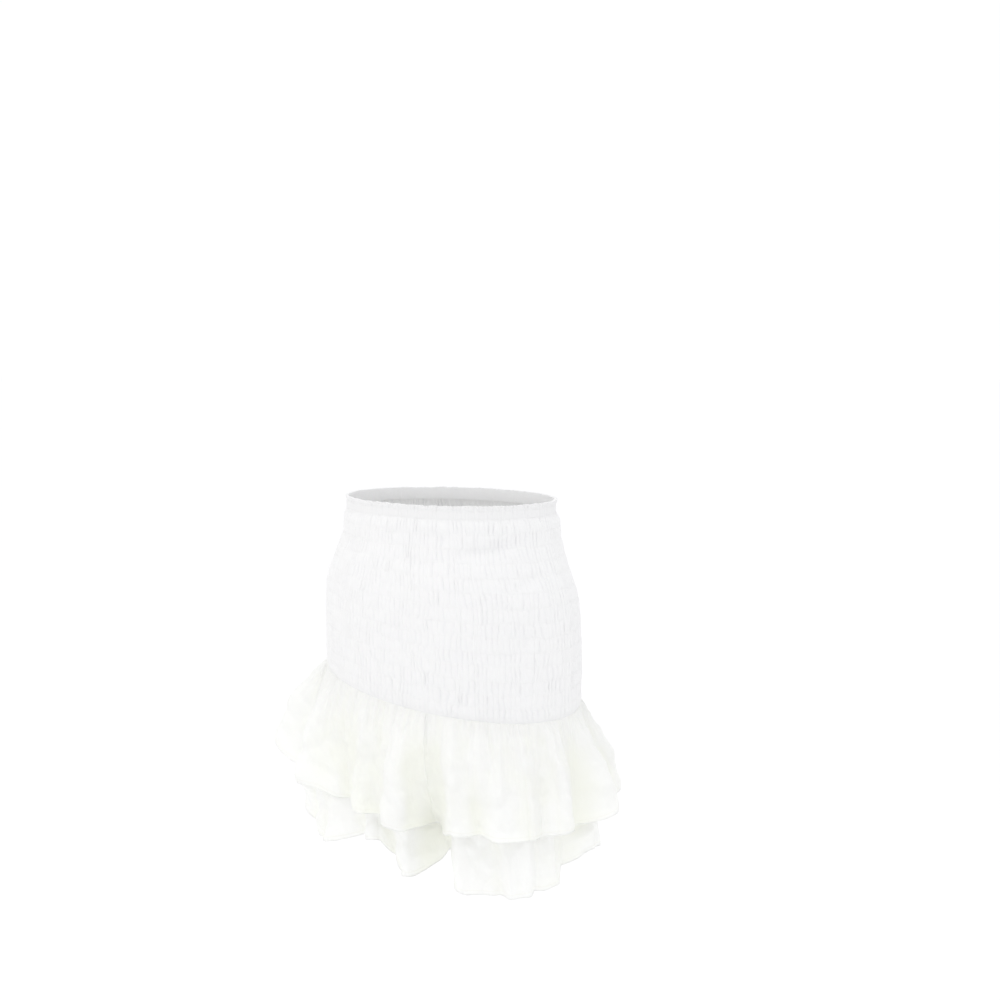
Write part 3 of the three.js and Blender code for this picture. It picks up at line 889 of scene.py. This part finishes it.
def hand_folds(panel, tier, arc, seam_turn, distance):
    """The folds and troughs of the table above, soft at both ends."""
    total = np.zeros((len(distance), len(arc)))
    for fold in HAND_FOLDS:
        if (fold["side"], fold["tier"]) != (panel["name"], tier["name"]):
            continue
        middle = np.interp(fold["turn"], seam_turn, arc)
        below = distance[:, None] - fold["start"]
        across = (arc[None, :] - middle - fold["lean"] * below) / fold["width"]
        above_end = fold["end"] - distance[:, None]
        ends = smooth(below / FOLD_FADE + 0.5) * smooth(above_end / FOLD_FADE + 0.5)
        total += fold["height"] * np.exp(-np.abs(across) ** HAND_FOLD_POWER) * ends
    return total


def swell(places, size, seam_turn):
    """The sum of rounded swellings along the seam."""
    total = np.zeros_like(seam_turn)
    for place in places:
        total += place[size] * np.exp(-((seam_turn - place["turn"]) / place["width"]) ** 2)
    return total


def flare(share):
    """How much of its reach a ruffle has at a share of its length."""
    return 1 - (1 - share) ** FLARE_POWER


def fallen(reach, length, share):
    """How far a ruffle has come down at each row, with its length kept along the flare."""
    rate = reach[None, :] * FLARE_POWER * (1 - share[:, None]) ** (FLARE_POWER - 1)
    slope = np.sqrt(np.maximum(length[None, :] ** 2 - rate ** 2, 1))
    steps = (slope[1:] + slope[:-1]) / 2 * np.diff(share)[:, None]
    return np.concatenate([np.zeros((1, reach.size)), np.cumsum(steps, axis=0)])


def kept_apart(tier, push, room):
    """Where the tiers lie close, the upper one only swells out and the lower one only sinks in."""
    loose = np.clip(room / LOOSE_ROOM, 0, 1)
    side = 1 if tier["name"] == "upper" else -1
    return mix(side * np.maximum(side * push, 0) * CLOSE_SHARE, push, loose)


def ruffle_points(panel, tier):
    """The middle of a ruffle's cloth, row by row from the seam to the hem, and its fold values for
    painted shade.
    """
    arc, seam_turn, hem_turn, value = fold_values(panel, RUFFLE_COLUMNS + 1)
    share = np.linspace(0, 1, tier["rows"] + 1)
    down = share[:, None]
    seed = panel["seed"] + tier["seed"]
    lifts = [place for place in HEM_LIFTS if place["side"] == panel["name"]]
    bellies = [place for place in BELLIES
               if (place["side"], place["tier"]) == (panel["name"], tier["name"])]
    side_calm = smooth(from_sides(arc) / SIDE_CALM)
    length = tier["length"] - tier["lifted"] * (value("lift") + swell(lifts, "lift", seam_turn))
    length = length + chance(HEM_UNEVEN, arc, NOISE_LINE, seed + 2) * side_calm
    reach = value(tier["name"])
    drift = down * tier["length"] / LOWER_RUFFLE_LENGTH
    turn = mix(seam_turn[None, :], hem_turn[None, :], drift)
    x, y, out_x, out_y = outline(turn, YOKE_BOTTOM_DROP)
    stand = tier["offset"] + reach[None, :] * flare(down)
    stand = stand + swell(bellies, "half_way", seam_turn)[None, :] * np.sin(np.pi * down)
    stand = stand + swell(bellies, "at_hem", seam_turn)[None, :] * down ** 2
    tilt = math.tan(SEAM_TILT) * mix(1, HEM_TILT_KEPT, drift)
    z = TOP_Z - YOKE_BOTTOM_DROP - SEAM_GAP - tilt * x - fallen(reach, length, share)
    points = np.stack([x + out_x * stand, y + out_y * stand, z], -1)

    distance = share * tier["length"]
    pleats = seam_gathers(arc, distance, panel["seed"] + 20)
    rippled = ripples(arc, distance, tier["length"], seed)
    placed = hand_folds(panel, tier, arc, seam_turn, distance)
    upper_share = np.minimum(distance / UPPER_RUFFLE_LENGTH, 1)[:, None]
    room = np.abs(value("upper") - value("lower"))[None, :] * flare(upper_share)
    normals = surface_normals(points)
    facing = np.clip(normals[..., 0] * out_x + normals[..., 1] * out_y, 0, 1)
    calm = side_calm * mix(STEEP_SHARE, 1, facing)
    push = kept_apart(tier, rippled + crumples(arc, distance, seed) + placed, room) * calm
    push = pleats * smooth(from_sides(arc) / SIDE_FLAT) + push
    points = points + normals * push[..., None]
    # Painted shade: lobes that stand far out are lighter and the fold valleys darker, fading in below
    # the seam; pleats, ripples and the listed folds add lighter ridges and darker troughs.
    spread = column(panel["folds"], tier["name"])
    crest = (reach - spread.min()) / (spread.max() - spread.min())
    fold = mix(SEAM_SHADING, crest, smooth(distance / SHADING_START)[:, None])
    fold = fold + PLEAT_SHADING * (pleats - 1) + RIPPLE_SHADING * (rippled + placed)
    return arc, distance, points, np.clip(fold, 0, 1)


def ruffle(panel, tier, chiffon, thread):
    """One ruffle panel, tucked into the seam above, with its rolled hem and hem stitches."""
    arc, distance, points, fold = ruffle_points(panel, tier)
    tuck = points[:1].copy()
    tuck[..., 2] += TUCK
    points = np.concatenate([tuck, points])
    fold = np.concatenate([fold[:1], fold])
    down = np.concatenate([[-TUCK], distance])
    cloth = grid_mesh(f"{tier['name']}_ruffle_cloth_{panel['name']}", points,
                      arc[None, :] * RUFFLE_FULLNESS, down[:, None], fold)
    finish_piece(cloth, chiffon)
    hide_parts(f"{tier['name']}_ruffle_{panel['name']}")

    normals = surface_normals(points)
    bead = edge_bead(f"{tier['name']}_hem_{panel['name']}", points[-1], normals[-1], HEM_RADIUS)
    finish_piece(bead, chiffon)
    line = points[HEM_STITCH_ROW] + THREAD_LIFT * normals[HEM_STITCH_ROW]
    stitches = stitch_rows(f"{tier['name']}_hem_stitches_{panel['name']}", [line],
                           [normals[HEM_STITCH_ROW]], **HEM_STITCH)
    finish_piece(stitches, thread)


def floor():
    """A plain white studio floor, far below the skirt."""
    mesh = bpy.data.meshes.new("studio_floor")
    corners = [(-1, -1), (1, -1), (1, 1), (-1, 1)]
    mesh.from_pydata([(x * FLOOR_REACH, y * FLOOR_REACH, FLOOR_HEIGHT) for x, y in corners], [],
                     [(0, 1, 2, 3)])
    material, nodes, links = node_tree("white_floor")
    shader = nodes.new("ShaderNodeBsdfPrincipled")
    shader.inputs["Base Color"].default_value = (FLOOR_WHITE, FLOOR_WHITE, FLOOR_WHITE, 1)
    shader.inputs["Roughness"].default_value = 1.0
    shader.inputs["Specular IOR Level"].default_value = 0.0
    output = nodes.new("ShaderNodeOutputMaterial")
    links.new(shader.outputs["BSDF"], output.inputs["Surface"])
    mesh.materials.append(material)
    linked("studio_floor", mesh)


def area_light(name, place, size, power, color):
    """A round soft light that looks at the skirt."""
    light = bpy.data.lights.new(name, "AREA")
    light.shape = "DISK"
    light.size = size
    light.energy = power
    light.color = color
    lamp = linked(name, light)
    lamp.location = place
    aim = np.array(LIT_PLACE) - np.array(place)
    tip = math.atan2(math.hypot(aim[0], aim[1]), -aim[2])
    lamp.rotation_euler = (tip, 0, math.atan2(-aim[0], aim[1]))


def studio():
    world = bpy.data.worlds.new("white_studio")
    world.use_nodes = True
    sky = world.node_tree.nodes["Background"]
    sky.inputs["Color"].default_value = (*SKY_COLOR, 1)
    sky.inputs["Strength"].default_value = SKY_STRENGTH
    bpy.context.scene.world = world
    bpy.context.scene.view_settings.view_transform = "Standard"
    for light in LIGHTS:
        area_light(**light)


def camera():
    """The photograph's camera: in front, to the wearer's left, a little above the waist."""
    azimuth = CAMERA["azimuth"]
    distance = CAMERA["distance"]
    beside = CAMERA["beside"]
    data = bpy.data.cameras.new("photo_camera")
    data.sensor_width = CAMERA["sensor"]
    data.lens = CAMERA["focal_share"] * data.sensor_width
    eye = linked("photo_camera", data)
    eye.location = (beside * math.cos(azimuth) + distance * math.sin(azimuth),
                    beside * math.sin(azimuth) - distance * math.cos(azimuth),
                    TOP_Z * MM + CAMERA["above_top"])
    eye.rotation_euler = (math.pi / 2 - CAMERA["pitch"], 0, azimuth)
    bpy.context.scene.camera = eye


camera()
studio()
floor()
cotton = cloth_material(COTTON)
chiffon = cloth_material(CHIFFON)
cotton_thread = thread_material(COTTON_THREAD)
chiffon_thread = thread_material(CHIFFON_THREAD)
for panel in (FRONT, BACK):
    waist_casing(panel, cotton, cotton_thread)
    smocked_yoke(panel, cotton, cotton_thread)
    for tier in (UPPER, LOWER):
        ruffle(panel, tier, chiffon, chiffon_thread)
